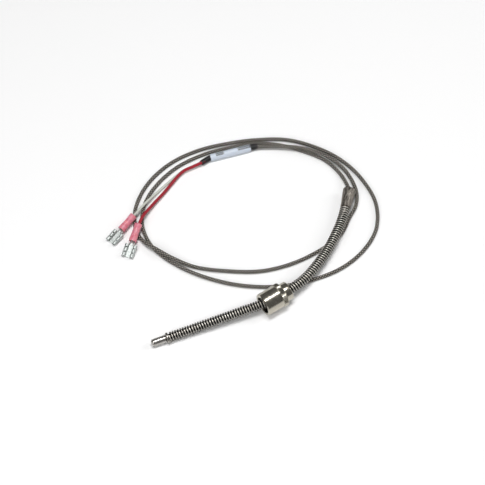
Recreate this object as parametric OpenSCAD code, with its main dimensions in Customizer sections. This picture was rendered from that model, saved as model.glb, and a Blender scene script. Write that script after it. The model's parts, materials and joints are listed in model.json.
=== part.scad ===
// Bayonet thermocouple probe. A closed sheath sits in the front of a long armour spring, a bayonet
// cap turns on a nut that travels along the spring, and a braided cable leaves the spring's rear end.
// The cable lies in two loops and ends in a shrink sleeve, a red and a white lead and two terminals.
// Millimetres. +X runs along the cap's axis from its mouth to the cable, +Z is up, z = 0 is the
// surface that the probe lies on, and the origin is under the middle of the probe without its cable.

/* [Sheath] */
// Outside diameter of the sheath tube (3/16 inch)
sheath_d = 4.76; // [4.5:0.01:4.76]
// Wall of the sheath tube
sheath_wall = 0.5; // [0.3:0.05:0.55]
// Bare length of the sheath in front of the stop collar
sheath_bare = 9.5; // [6:0.5:20]
// Length of the sheath behind the collar's front face, inside the spring
sheath_hidden = 22; // [20:1:26]
// Corner radius of the closed tip
tip_round = 1.5; // [0.5:0.1:2]
// Outside diameter of the stop collar
collar_d = 6.6; // [6.5:0.05:6.7]
// Length of the stop collar
collar_len = 1.6; // [1:0.1:3]

/* [Spring] */
// Outside diameter of the armour spring
spring_d = 6.5; // [6.4:0.02:6.52]
// Diameter of the spring wire
wire_d = 0.76; // [0.6:0.02:0.76]
// Distance from turn to turn
pitch = 1.65; // [1.4:0.05:2.5]

/* [Cap] */
// Outside diameter of the cap's skirt
skirt_d = 14.8; // [14:0.1:15]
// Inside diameter of the skirt, which takes a 7/16 inch adapter
mouth_d = 11.3; // [11.2:0.05:11.5]
// Length of the plain skirt
skirt_len = 11.4; // [11.4:0.1:14]
// Outside diameter of the knurled band
band_d = 15.2; // [15:0.1:15.2]
// Length of the knurled band
band_len = 2.9; // [2.5:0.1:4]
// Outside diameter of the nut behind the band
nut_d = 11.9; // [11:0.1:12.5]
// Visible length of the nut
nut_len = 4.5; // [4:0.1:5]
// Radial running clearance of the nut on the spring and of the cap on the nut
running = 0.05; // [0.02:0.01:0.1]

/* [Cable] */
// Diameter of the braided cable
cable_d = 2.4; // [2:0.1:2.6]
// Diameter of the red lead
red_d = 2; // [1.6:0.1:2]
// Diameter of the white lead
white_d = 1.6; // [1.2:0.1:1.6]
// Diameter of the printed label
label_d = 4.8; // [4.4:0.1:4.8]
// Length of the printed label
label_len = 27; // [20:1:27]

/* [Terminals] */
// Diameter of the insulated barrel
barrel_d = 5; // [4.6:0.1:5]
// Length of the insulated barrel
barrel_len = 12; // [10:0.5:13]
// Length of the rolled receptacle
receptacle_len = 8.4; // [7:0.1:9]

/* [Hidden] */
$fn = 48;
eps = 0.01;

// Where the cap's mouth is, and the stations of the spring measured along X from that mouth
mouth_at = [-13.5, -17.5, band_d / 2];
split_x = 15.8;
bend_start_x = 9.5;

// Each branch of the spring starts at the split, straight, and is a list of [length, turn] in a
// plane that is rolled about X, so that the branch also comes down to the surface.
front_roll = -15;
front_path = [[split_x - bend_start_x, 0], [10, -14.4], [72, 0]];
rear_roll = -4.5;
rear_path = [[6, 0], [15.7, 18], [54.5, 25], [30, 0]];
collar_s = split_x - bend_start_x + 10 + 62;
ferrule_s = 6 + 15.7 + 54.5;

// Sheath and what it holds, measured back from the collar's front face or from the tip
sheath_r = sheath_d / 2;
swage_depth = 0.2;
swaged_r = sheath_r - swage_depth;
swaged_from = sheath_bare - 0.5;
sheath_len = sheath_bare + sheath_hidden;
conductor_r = 0.25;
conductor_gap = 0.75;
bead_r = 1.1;
bead_from_tip = 2.4;
ceramic_len = 12;
plug_len = 3;
lead_gap = 7;
plug_end = bead_from_tip + ceramic_len + plug_len;

// Spring
spring_r = spring_d / 2;
coil_r = (spring_d - wire_d) / 2;
turn_steps = 12;
wire_sides = 4;

// Cap and nut
cap_wall_x = skirt_len + 0.4;
neck_r = 4.7;
flange_r = mouth_d / 2 - 0.25;
flange_len = 1.4;
end_play = 0.1;
nut_bore_r = spring_r + running;
slot_w = 2.6;
slot_depth = 6.5;
slot_sweep = 50;
knurl_count = 60;
knurl_depth = 0.18;

// Ferrule at the spring's rear end
ferrule_len = 13.7;
ferrule_r = 3.15;
ferrule_mouth_r = 4.2;
ferrule_lip = 0.5;
ferrule_neck_len = 5;
bush_len = 4;
inner_steps = 12;

// Liner between the cable and the spring, from the sheath's rear end to the ferrule's neck
liner_d = 4.2;
liner_bore = 2.7;
liner_gap = 0.1;

// Route of the braided cable, from inside the ferrule to inside the shrink sleeve
cable_route = [
    [74.6, 16.3, 4.95], [78, 19.5, 4.7], [80.5, 22.5, 4.2], [82.8, 29, 2.4], [84, 37, 1.3],
    [83, 47, 1.25], [79.5, 56, 1.25], [73, 66, 1.25], [64, 77, 1.25], [51.7, 87, 1.25],
    [38, 92.6, 1.25], [20, 98.2, 1.25], [0, 99.8, 1.25], [-18, 96, 1.25], [-32, 88.6, 1.25],
    [-41.5, 77.5, 1.25], [-45.5, 65, 1.25], [-44.8, 52, 1.25], [-39, 36.5, 1.25],
    [-30, 21.5, 1.25], [-16, 5.5, 1.25], [2, -8, 1.25], [22, -16.5, 1.25], [43, -20.5, 1.25],
    [62.5, -18, 1.25], [79, -9.5, 1.25], [90, 6, 1.25], [93.2, 25, 1.25], [91.2, 43, 1.25],
    [84, 60, 1.25], [71.5, 76.5, 1.25], [55, 88, 1.25], [36, 97, 1.25], [16.5, 103.2, 1.25],
    [-4, 104.5, 1.25], [-23.5, 99.5, 1.25], [-39, 89, 1.25], [-47.5, 75.5, 1.25],
    [-48.4, 64.5, 2.2], [-45.3, 54.5, 4], [-39.8, 43.5, 2.9], [-31.5, 31.5, 1.3],
    [-18.5, 19.5, 1.25], [0, 6.5, 1.25], [20, -0.5, 1.25], [41, -2.5, 1.25], [57.5, -0.5, 1.25],
    [69.5, 6.5, 1.25], [78.7, 12, 1.25], [84.8, 20, 1.25], [87.8, 31, 1.25],
    [87.4, 41.5, 2.2], [83.2, 52, 3.9], [76, 63, 3.9], [67, 71.8, 3.5], [57.5, 79, 2.7],
    [48.5, 84.55, 2.45]
];
// Routes of the two leads, from inside the shrink sleeve to inside their terminals
red_route = [
    [16, 92.6, 3.1], [8, 93.6, 2.75], [2, 94.3, 2.7], [-4, 93.2, 2.6], [-10, 91, 2.3],
    [-18, 87.9, 2.2], [-26, 85, 2.8], [-34, 81.8, 3.9], [-40, 78.8, 5.2], [-48.5, 72.6, 5.3]
];
white_route = [
    [16, 93.6, 1.5], [8, 94.8, 0.85], [2, 95.6, 0.85], [-5, 94.6, 0.85], [-12, 93.2, 0.85],
    [-20, 91.2, 1.3], [-28, 88.6, 2.9], [-34, 86.6, 3.9], [-39.5, 84.4, 4.6], [-48, 81.4, 4.6]
];

// Shrink sleeve: the cable's end of it, its heading in plan, and the lengths of its two stretches
sleeve_at = [51.2, 83.7, 2.45];
sleeve_heading = 162.8;
sleeve_bend = 19;
sleeve_len = 32.5;
sleeve_tail = 6.3;
sleeve_r = 1.9;
tail_r = 1.8;
sleeve_wall = 0.3;
label_from = 4.8;
splice_len = 8;
splice_from = 12;
splice_r = 0.75;

// Terminals: [rear end of the barrel, heading in plan, drop below level], front end on the surface
red_place = [[-45.5, 75, 6], 218.5, 10.5];
white_place = [[-44.5, 82.5, 5.2], 196.5, 9];
stock = 0.4;
cover_wall = 0.5;
tab_gap = 0.85;
roll_r = 1.3;
roll_y = 2.65;
neck_len = 2.2;
neck_half = 1.3;
crimp_from = 2.5;
crimp_len = 8;
crimp_r = 1.5;

// Position and heading at distance s along a branch, as [x, y, heading] in the branch's own plane
function walk(path, s, i = 0, x = 0, y = 0, h = 0) =
    let (
        span = path[i][0],
        turn = path[i][1],
        d = i == len(path) - 1 ? s : min(s, span),
        r = turn == 0 ? 0 : span / turn * 180 / PI,
        a = turn * d / span,
        end = turn == 0
            ? [x + d * cos(h), y + d * sin(h), h]
            : [x + r * (sin(h + a) - sin(h)), y - r * (cos(h + a) - cos(h)), h + a]
    )
    s - d <= 0.0001 ? end : walk(path, s - d, i + 1, end[0], end[1], end[2]);

// The same station as a point in the part's own frame, for each branch
function front_point(s) =
    let (p = walk(front_path, s))
    mouth_at + [split_x - p[0], -p[1] * cos(front_roll), -p[1] * sin(front_roll)];

function rear_point(s) =
    let (p = walk(rear_path, s))
    mouth_at + [split_x + p[0], p[1] * cos(rear_roll), p[1] * sin(rear_roll)];

// Faces of a closed tube whose points are given ring by ring
function tube_faces(rings, sides) = concat(
    [for (i = [0 : rings - 2], j = [0 : sides - 1])
        let (a = i * sides, k = (j + 1) % sides)
        each [[a + j, a + k, a + sides + k], [a + j, a + sides + k, a + sides + j]]],
    [[for (j = [sides - 1 : -1 : 0]) j], [for (j = [0 : sides - 1]) (rings - 1) * sides + j]]
);

// One ring of a coil's wire at distance s along its branch, the wire being a turned square
function wire_ring(path, s) =
    let (
        at = walk(path, s),
        a = 360 * s / pitch,
        along = [cos(at[2]), sin(at[2]), 0],
        out = cos(a) * [-sin(at[2]), cos(at[2]), 0] + sin(a) * [0, 0, 1],
        middle = [at[0], at[1], 0] + coil_r * out
    )
    [for (j = [0 : wire_sides - 1])
        let (b = 45 + 360 * j / wire_sides)
        middle + wire_d / sqrt(2) * (cos(b) * out + sin(b) * along)];

// One ring of a cord at point i of its route, upright and square to the route
function cord_ring(route, i, r, sides) =
    let (
        ahead = route[min(i + 1, len(route) - 1)] - route[max(i - 1, 0)],
        along = ahead / norm(ahead),
        across = cross(along, [0, 0, 1]),
        side = across / norm(across),
        up = cross(side, along)
    )
    [for (j = [0 : sides - 1])
        let (b = 360 * (j + 0.5) / sides)
        route[i] + r / cos(180 / sides) * (cos(b) * side + sin(b) * up)];

module coil(path, from, to) {
    count = round((to - from) / pitch * turn_steps);
    rings = [for (i = [0 : count]) wire_ring(path, from + (to - from) * i / count)];
    polyhedron([for (ring = rings) each ring], tube_faces(count + 1, wire_sides));
}

module cord(route, d, sides = 8) {
    rings = [for (i = [0 : len(route) - 1]) cord_ring(route, i, d / 2, sides)];
    polyhedron([for (ring = rings) each ring], tube_faces(len(route), sides));
}

module in_front_plane() {
    translate(mouth_at + [split_x, 0, 0]) rotate([front_roll, 0, 0]) rotate([0, 0, 180]) children();
}

module in_rear_plane() {
    translate(mouth_at + [split_x, 0, 0]) rotate([rear_roll, 0, 0]) children();
}

// Children drawn along +Z, carried to distance s along a branch
module at_station(path, s) {
    at = walk(path, s);
    translate([at[0], at[1], 0]) rotate([0, 90, at[2]]) children();
}

// The sheath's own axis: z = 0 at the tip's end, +Z pointing back to the cable
module on_sheath() {
    in_front_plane() at_station(front_path, collar_s + sheath_bare) rotate([180, 0, 0]) children();
}

module on_ferrule() {
    in_rear_plane() at_station(rear_path, ferrule_s) children();
}

// The cap's axis: z = 0 at the mouth's rim, +Z pointing back to the cable
module on_cap_axis() {
    translate(mouth_at) rotate([0, 90, 0]) children();
}

module ring(r_out, r_in, h) {
    difference() {
        cylinder(r = r_out, h = h);
        translate([0, 0, -eps]) cylinder(r = r_in, h = h + 2 * eps);
    }
}

// Children drawn along +X from a place given as [point, heading, drop]
module laid(place) {
    translate(place[0]) rotate([0, place[2], place[1]]) children();
}

module sheath_tube() {
    color("#c9c6c2") on_sheath() difference() {
        rotate_extrude() {
            translate([0, tip_round]) square([sheath_r, swaged_from - tip_round]);
            translate([0, swaged_from - eps]) square([swaged_r, sheath_len - swaged_from + eps]);
            square([sheath_r - tip_round, tip_round + eps]);
            intersection() {
                translate([sheath_r - tip_round, tip_round]) circle(r = tip_round);
                square([sheath_r, tip_round + eps]);
            }
        }
        translate([0, 0, 2 * sheath_wall])
            cylinder(r = sheath_r - sheath_wall, h = sheath_len);
    }
}

module stop_collar() {
    lip = 0.4;
    color("#a8a49e") on_sheath() translate([0, 0, sheath_bare]) difference() {
        union() {
            cylinder(r1 = collar_d / 2 - lip, r2 = collar_d / 2, h = lip);
            translate([0, 0, lip]) cylinder(r = collar_d / 2, h = collar_len - lip);
        }
        translate([0, 0, -eps]) cylinder(r = swaged_r, h = collar_len + 2 * eps);
    }
}

module ceramic_insulator() {
    color("#f2efe6") on_sheath() translate([0, 0, bead_from_tip + bead_r]) difference() {
        cylinder(r = sheath_r - sheath_wall - 0.08, h = ceramic_len - bead_r);
        for (side = [-1, 1])
            translate([side * conductor_gap, 0, -eps])
                cylinder(r = conductor_r + 0.05, h = ceramic_len);
    }
}

module junction_bead() {
    color("#8f8f94") on_sheath() translate([0, 0, bead_from_tip]) sphere(r = bead_r);
}

module conductor(side) {
    on_sheath()
        translate([side * conductor_gap, 0, bead_from_tip])
            cylinder(r = conductor_r, h = plug_end - bead_from_tip + lead_gap);
}

module iron_conductor() {
    color("#7d7f83") conductor(-1);
}

module constantan_conductor() {
    color("#b79a6c") conductor(1);
}

module cement_plug() {
    color("#d8d2c4") on_sheath() translate([0, 0, plug_end - plug_len]) difference() {
        cylinder(r = sheath_r - sheath_wall, h = plug_len);
        for (side = [-1, 1])
            translate([side * conductor_gap, 0, -eps])
                cylinder(r = conductor_r, h = plug_len + 2 * eps);
    }
}

// Faces of a hollow tube's wall, whose rings run out along it, back inside it and close
function wall_faces(rings, sides) = [for (i = [0 : rings - 1], j = [0 : sides - 1])
    let (a = i * sides, b = (i + 1) % rings * sides, k = (j + 1) % sides)
    each [[a + j, a + k, b + k], [a + j, b + k, b + j]]];

module liner(route, sides = 8) {
    last = len(route) - 1;
    rings = concat(
        [for (i = [0 : last]) cord_ring(route, i, liner_d / 2, sides)],
        [for (i = [last : -1 : 0]) cord_ring(route, i, liner_bore / 2, sides)]
    );
    polyhedron([for (ring = rings) each ring], wall_faces(len(rings), sides));
}

module front_liner() {
    reach = collar_s - sheath_hidden - liner_gap;
    color("#2b2927") liner([for (i = [0 : inner_steps]) front_point(reach * i / inner_steps)]);
}

module rear_liner() {
    reach = ferrule_s - ferrule_neck_len - liner_gap;
    color("#2b2927") liner([for (i = [0 : inner_steps]) rear_point(reach * i / inner_steps)]);
}

module front_coil() {
    color("#5c5955") in_front_plane() coil(front_path, 0, collar_s - collar_len - wire_d / 2);
}

module rear_coil() {
    color("#5c5955") in_rear_plane() coil(rear_path, 0, ferrule_s - wire_d / 2);
}

// The nut threads along the spring and carries the cap between its flange and its body
module spring_nut() {
    flange_at = cap_wall_x - end_play - flange_len;
    body_at = skirt_len + band_len + end_play;
    shoulder = 0.4;
    relief_r = nut_bore_r + 0.65;
    color("#c4bfae") on_cap_axis() difference() {
        union() {
            translate([0, 0, flange_at]) cylinder(r = flange_r, h = flange_len);
            translate([0, 0, flange_at]) cylinder(r = neck_r, h = body_at - flange_at + eps);
            translate([0, 0, body_at]) cylinder(r = neck_r + 0.6, h = shoulder + eps);
            translate([0, 0, body_at + shoulder]) cylinder(r = nut_d / 2, h = nut_len - 0.5);
            translate([0, 0, body_at + shoulder + nut_len - 0.5])
                cylinder(r1 = nut_d / 2, r2 = nut_d / 2 - 0.5, h = 0.5);
        }
        translate([0, 0, flange_at - eps]) cylinder(r = relief_r, h = body_at - flange_at);
        cylinder(r = nut_bore_r, h = body_at + shoulder + nut_len + 1);
    }
}

// Turned brass cap with a knurled band, and a J-slot under it that takes the adapter's pin
module bayonet_cap() {
    color("#c4bfae") on_cap_axis() difference() {
        union() {
            cylinder(r1 = skirt_d / 2 - 0.4, r2 = skirt_d / 2, h = 0.4);
            translate([0, 0, 0.4]) cylinder(r = skirt_d / 2, h = skirt_len);
            translate([0, 0, skirt_len]) knurled_band();
        }
        translate([0, 0, -1]) cylinder(r = mouth_d / 2, h = cap_wall_x + 1);
        cylinder(r = neck_r + running, h = skirt_len + band_len + 1);
        j_slot();
    }
}

module knurled_band() {
    linear_extrude(band_len) polygon([for (i = [0 : 2 * knurl_count - 1])
        let (a = 180 * i / knurl_count, r = band_d / 2 - (i % 2) * knurl_depth)
        [r * cos(a), r * sin(a)]]);
}

module j_slot() {
    reach = skirt_d / 2 + 1 - neck_r;
    translate([neck_r, -slot_w / 2, -1]) cube([reach, slot_w, slot_depth + 1]);
    translate([0, 0, slot_depth - slot_w])
        rotate_extrude(angle = slot_sweep) translate([neck_r, 0]) square([reach, slot_w]);
}

module rear_ferrule() {
    color("#8d8983") on_ferrule() difference() {
        union() {
            translate([0, 0, -ferrule_neck_len])
                cylinder(r = coil_r - wire_d / 2 - 0.1, h = ferrule_neck_len + eps);
            cylinder(r1 = ferrule_r, r2 = ferrule_mouth_r, h = ferrule_len);
        }
        translate([0, 0, -ferrule_neck_len - eps])
            cylinder(r = cable_d / 2, h = ferrule_neck_len + ferrule_len);
        translate([0, 0, 2])
            cylinder(r1 = ferrule_r - ferrule_lip, r2 = ferrule_mouth_r - ferrule_lip,
                     h = ferrule_len - 2 + eps);
    }
}

module cable_bush() {
    color("#3a3835") on_ferrule() translate([0, 0, 2])
        ring(ferrule_r - ferrule_lip, cable_d / 2, bush_len);
}

// The cable's stretch inside the spring, from inside the sheath to the ferrule's bush
module inner_cable() {
    front_end = collar_s + sheath_bare - plug_end - lead_gap;
    rear_end = ferrule_s + 2 + bush_len;
    color("#6f6a62") cord(concat(
        [for (i = [0 : inner_steps]) front_point(front_end * (1 - i / inner_steps))],
        [for (i = [1 : inner_steps]) rear_point(rear_end * i / inner_steps)]
    ), cable_d);
}

module braided_cable() {
    color("#6f6a62") cord(cable_route, cable_d);
}

module on_sleeve() {
    laid([sleeve_at, sleeve_heading, 0]) children();
}

module transition_sleeve() {
    color("#1d1c1d") on_sleeve() {
        rotate([0, 90, 0]) difference() {
            cylinder(r = sleeve_r, h = sleeve_len);
            translate([0, 0, -eps]) cylinder(r = cable_d / 2, h = splice_from);
            translate([0, 0, splice_from - 4])
                cylinder(r = sleeve_r - sleeve_wall, h = splice_len + 8);
        }
        translate([sleeve_len - sleeve_r / 2, 0, 0])
            rotate([0, 90, sleeve_bend])
                cylinder(r = tail_r, h = sleeve_tail + sleeve_r / 2);
    }
}

module transition_label() {
    color("#e9edf2") on_sleeve() rotate([0, 90, 0])
        translate([0, 0, label_from]) ring(label_d / 2, sleeve_r, label_len);
}

module splice(side) {
    on_sleeve() translate([splice_from, side * (splice_r + 0.05), 0])
        rotate([0, 90, 0]) ring(splice_r, splice_r - 0.25, splice_len);
}

module red_splice() {
    color("#b9bcc2") splice(1);
}

module white_splice() {
    color("#b9bcc2") splice(-1);
}

module red_lead() {
    color("#b3122b") cord(red_route, red_d);
}

module white_lead() {
    color("#dfe0d8") cord(white_route, white_d);
}

// One stamped female terminal: a rolled receptacle, a flat neck and a crimp tube
module terminal() {
    receptacle_from = barrel_len + neck_len;
    rotate([0, 90, 0]) translate([0, 0, crimp_from]) ring(crimp_r, crimp_r - stock, crimp_len);
    translate([crimp_from + crimp_len - 1, -neck_half, -roll_r - stock / 2])
        cube([receptacle_from - crimp_from - crimp_len + 1 + eps, 2 * neck_half, stock]);
    translate([crimp_from + crimp_len - 1, -neck_half, -roll_r - stock / 2])
        cube([1, 2 * neck_half, roll_r]);
    translate([receptacle_from, 0, 0]) rotate([90, 0, 90])
        linear_extrude(receptacle_len) receptacle_section();
}

// Section of the receptacle: a flat base whose two edges roll up and over the tab
module receptacle_section() {
    base_y = -roll_r - stock / 2;
    translate([-roll_y, base_y]) square([2 * roll_y, stock]);
    for (side = [-1, 1])
        difference() {
            translate([side * roll_y, base_y + roll_r]) circle(r = roll_r);
            translate([side * roll_y, base_y + roll_r]) circle(r = roll_r - stock);
            translate([side > 0 ? roll_y - roll_r : -roll_y, base_y + stock])
                square([roll_r, tab_gap]);
        }
}

module red_terminal() {
    color("#c7ccce") laid(red_place) terminal();
}

module white_terminal() {
    color("#c7ccce") laid(white_place) terminal();
}

module support_sleeve() {
    translate([crimp_from, 0, 0]) rotate([0, 90, 0])
        ring(barrel_d / 2 - cover_wall, crimp_r, crimp_len - 1);
}

module red_support_sleeve() {
    color("#c08a55") laid(red_place) support_sleeve();
}

module white_support_sleeve() {
    color("#c08a55") laid(white_place) support_sleeve();
}

module barrel_cover() {
    rotate([0, 90, 0]) ring(barrel_d / 2, barrel_d / 2 - cover_wall, barrel_len);
}

module red_barrel_cover() {
    color("#e0657f") laid(red_place) barrel_cover();
}

module white_barrel_cover() {
    color("#e0657f") laid(white_place) barrel_cover();
}

sheath_tube();
stop_collar();
ceramic_insulator();
junction_bead();
iron_conductor();
constantan_conductor();
cement_plug();
front_coil();
rear_coil();
front_liner();
rear_liner();
spring_nut();
bayonet_cap();
rear_ferrule();
cable_bush();
inner_cable();
braided_cable();
transition_sleeve();
transition_label();
red_splice();
white_splice();
red_lead();
white_lead();
red_terminal();
white_terminal();
red_support_sleeve();
white_support_sleeve();
red_barrel_cover();
white_barrel_cover();
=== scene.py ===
"""Looks of a spring-armoured bayonet thermocouple probe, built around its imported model.

Lengths are in millimetres until a piece is finished, and its place is given in the probe's own frame:
+X along the cap's axis from its mouth to the cable, +Z up from the surface that the probe lies on.
"""

import json
from math import asin, atan2, cos, hypot, pi, radians, sin

import bmesh
import bpy
from mathutils import Matrix, Vector


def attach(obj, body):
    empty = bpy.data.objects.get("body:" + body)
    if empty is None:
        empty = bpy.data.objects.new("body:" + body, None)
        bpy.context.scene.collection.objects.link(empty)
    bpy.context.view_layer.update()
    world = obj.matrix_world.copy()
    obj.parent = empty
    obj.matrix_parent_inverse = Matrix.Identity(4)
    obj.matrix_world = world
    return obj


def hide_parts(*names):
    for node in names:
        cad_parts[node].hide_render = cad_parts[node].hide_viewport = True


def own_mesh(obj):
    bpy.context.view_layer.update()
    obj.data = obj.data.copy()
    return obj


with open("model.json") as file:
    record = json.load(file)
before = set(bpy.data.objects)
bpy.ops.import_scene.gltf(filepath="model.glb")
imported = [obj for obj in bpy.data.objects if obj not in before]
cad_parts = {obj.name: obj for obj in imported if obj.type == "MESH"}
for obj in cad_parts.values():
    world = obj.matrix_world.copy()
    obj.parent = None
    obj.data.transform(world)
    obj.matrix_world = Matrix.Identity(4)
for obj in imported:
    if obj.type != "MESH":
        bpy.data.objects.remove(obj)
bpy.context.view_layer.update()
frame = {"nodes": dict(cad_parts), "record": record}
MM = 0.001


# ---------------------------------------------------------------- camera
# A long lens looks down on the probe from in front of its tip, steeply enough to show both loops
# of the cable as ovals.
azimuth = radians(34)
elevation = radians(60)
aim = Vector((3.5, 30.1, 0)) * MM
camera_distance = 1.1
look = Vector((sin(azimuth) * cos(elevation), cos(azimuth) * cos(elevation), -sin(elevation)))
camera_data = bpy.data.cameras.new("camera")
camera_data.lens = 129.2
camera_data.sensor_width = 36
camera = bpy.data.objects.new("camera", camera_data)
camera.location = aim - camera_distance * look
camera.rotation_euler = look.to_track_quat("-Z", "Y").to_euler()
bpy.context.scene.collection.objects.link(camera)
bpy.context.scene.camera = camera


# ---------------------------------------------------------------- braided cable
# Two twisted conductors in a woven glass-fibre jacket with a grey-brown varnish. It leaves the
# ferrule, lies in two loops on the surface and ends inside the black sleeve.
def smooth_line(points, step):
    """A smooth line through the points, with a point about every step."""
    line = []
    ends = [2 * Vector(points[0]) - Vector(points[1]), 2 * Vector(points[-1]) - Vector(points[-2])]
    knots = [ends[0]] + [Vector(p) for p in points] + [ends[1]]
    for a, b, c, d in zip(knots, knots[1:], knots[2:], knots[3:]):
        count = max(2, round((c - b).length / step))
        for i in range(count):
            t = i / count
            line.append(0.5 * (2 * b + (c - a) * t + (2 * a - 5 * b + 4 * c - d) * t ** 2
                               + (3 * b - a - 3 * c + d) * t ** 3))
    line.append(Vector(points[-1]))
    return line


def distances(line):
    """Distance of each point of a line from its start."""
    along = [0.0]
    for a, b in zip(line, line[1:]):
        along.append(along[-1] + (b - a).length)
    return along


def new_piece(name, mesh, material, sharp=35):
    """Puts a finished mesh into the scene, smooth but for edges sharper than the angle given."""
    mesh.materials.clear()
    mesh.materials.append(material)
    for face in mesh.polygons:
        face.use_smooth = True
    mesh.set_sharp_from_angle(angle=radians(sharp))
    piece = bpy.data.objects.new(name, mesh)
    bpy.context.scene.collection.objects.link(piece)
    return piece


def tube_mesh(name, line, radius, sides, shape=None, caps=True):
    """Sweeps a round section along a line. shape gives each ring's radius as a share of radius."""
    curve = bpy.data.curves.new(name, "CURVE")
    curve.dimensions = "3D"
    curve.twist_mode = "Z_UP"
    curve.bevel_depth = radius * MM
    curve.bevel_resolution = sides // 2 - 2
    curve.use_fill_caps = caps
    spline = curve.splines.new("POLY")
    spline.points.add(len(line) - 1)
    for i, point in enumerate(line):
        spline.points[i].co = (*(point * MM), 1)
        spline.points[i].radius = shape[i] if shape else 1
    holder = bpy.data.objects.new(name + "_line", curve)
    bpy.context.scene.collection.objects.link(holder)
    bpy.context.view_layer.update()
    mesh = bpy.data.meshes.new_from_object(holder.evaluated_get(bpy.context.evaluated_depsgraph_get()))
    bpy.data.objects.remove(holder)
    mesh.name = name
    return mesh


def weave(mesh, line, sides, pick, ends, depth):
    """Raises a tube's surface into woven strands: pick is the weave's length along the tube, ends
    the number of strands around it. The attribute crown is 1 on a strand and 0 between strands, and
    level is the crown that keeps the tube's own radius."""
    level = 0.7
    along = distances(line)
    crown = mesh.attributes.new("crown", "FLOAT", "POINT")
    for i, vertex in enumerate(mesh.vertices):
        ring = min(i // sides, len(line) - 1)
        height = 0.5 + 0.5 * cos(2 * pi * along[ring] / pick) * cos(2 * pi * ends * (i % sides) / sides)
        centre = line[ring] * MM
        out = (vertex.co - centre).normalized()
        vertex.co += out * depth * MM * (height - level)
        crown.data[i].value = height


def linear(hex_code, alpha=1):
    """An sRGB hex colour in the renderer's linear values."""
    parts = [int(hex_code[i:i + 2], 16) / 255 for i in (1, 3, 5)]
    return [p / 12.92 if p <= 0.04045 else ((p + 0.055) / 1.055) ** 2.4 for p in parts] + [alpha]


def new_material(name, colour, roughness, metallic=0.0, **more):
    """A material whose shader has the given colour and gloss; more sets its other sockets."""
    material = bpy.data.materials.new(name)
    material.use_nodes = True
    shader = material.node_tree.nodes["Principled BSDF"]
    shader.inputs["Base Color"].default_value = linear(colour)
    shader.inputs["Roughness"].default_value = roughness
    shader.inputs["Metallic"].default_value = metallic
    for socket, value in more.items():
        shader.inputs[socket.replace("_", " ")].default_value = value
    return material, material.node_tree, shader


def add(tree, kind, settings=None, links=None):
    """Adds one node, sets its properties and free sockets, and links its other sockets."""
    node = tree.nodes.new("ShaderNode" + kind)
    for key, value in (settings or {}).items():
        if isinstance(key, str) and hasattr(node, key):
            setattr(node, key, value)
        else:
            node.inputs[key].default_value = value
    for key, output in (links or {}).items():
        tree.links.new(output, node.inputs[key])
    return node


def colour_steps(tree, factor, steps):
    """A colour ramp from a list of (place, hex colour)."""
    ramp = add(tree, "ValToRGB", links={"Fac": factor})
    elements = ramp.color_ramp.elements
    while len(elements) < len(steps):
        elements.new(0.5)
    for element, (place, colour) in zip(elements, steps):
        element.position = place
        element.color = linear(colour)
    return ramp


def in_mm(tree):
    """Object coordinates in millimetres."""
    place = add(tree, "TexCoord").outputs["Object"]
    return add(tree, "VectorMath", {"operation": "SCALE", "Scale": 1 / MM}, {0: place}).outputs[0]


def woven_yarn(name, groove_shade, shade, crown, sheen):
    """Glass-fibre yarn under a thin varnish: painted shade between the strands and darker towards their
    sides, a lighter painted highlight and soft gloss on their crowns.
    """
    material, tree, shader = new_material(name, crown, 0.55)
    height = add(tree, "Attribute", {"attribute_name": "crown"}).outputs["Fac"]
    # Single threads are finer than they are drawn here, at 0.3 mm, so that they show.
    threads = add(tree, "TexNoise", {"Scale": 3.2, "Detail": 3, "Roughness": 0.7},
                  {"Vector": in_mm(tree)})
    mixed = add(tree, "Math", {"operation": "MULTIPLY_ADD", 1: 0.5},
                {0: threads.outputs["Fac"], 2: height})
    # The ramp paints shade into the grooves between strands and a highlight onto their crowns.
    ramp = colour_steps(tree, mixed.outputs[0], [(0.6, groove_shade), (0.88, shade), (1, crown)])
    tree.links.new(ramp.outputs["Color"], shader.inputs["Base Color"])
    gloss = add(tree, "MapRange", {"From Min": 0.3, "From Max": 1.3, "To Min": 0.8, "To Max": 0.42},
                {"Value": mixed.outputs[0]})
    tree.links.new(gloss.outputs[0], shader.inputs["Roughness"])
    bump = add(tree, "Bump", {"Strength": 0.5, "Distance": 0.00015}, {"Height": mixed.outputs[0]})
    tree.links.new(bump.outputs[0], shader.inputs["Normal"])
    shader.inputs["Sheen Weight"].default_value = sheen
    return material


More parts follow.
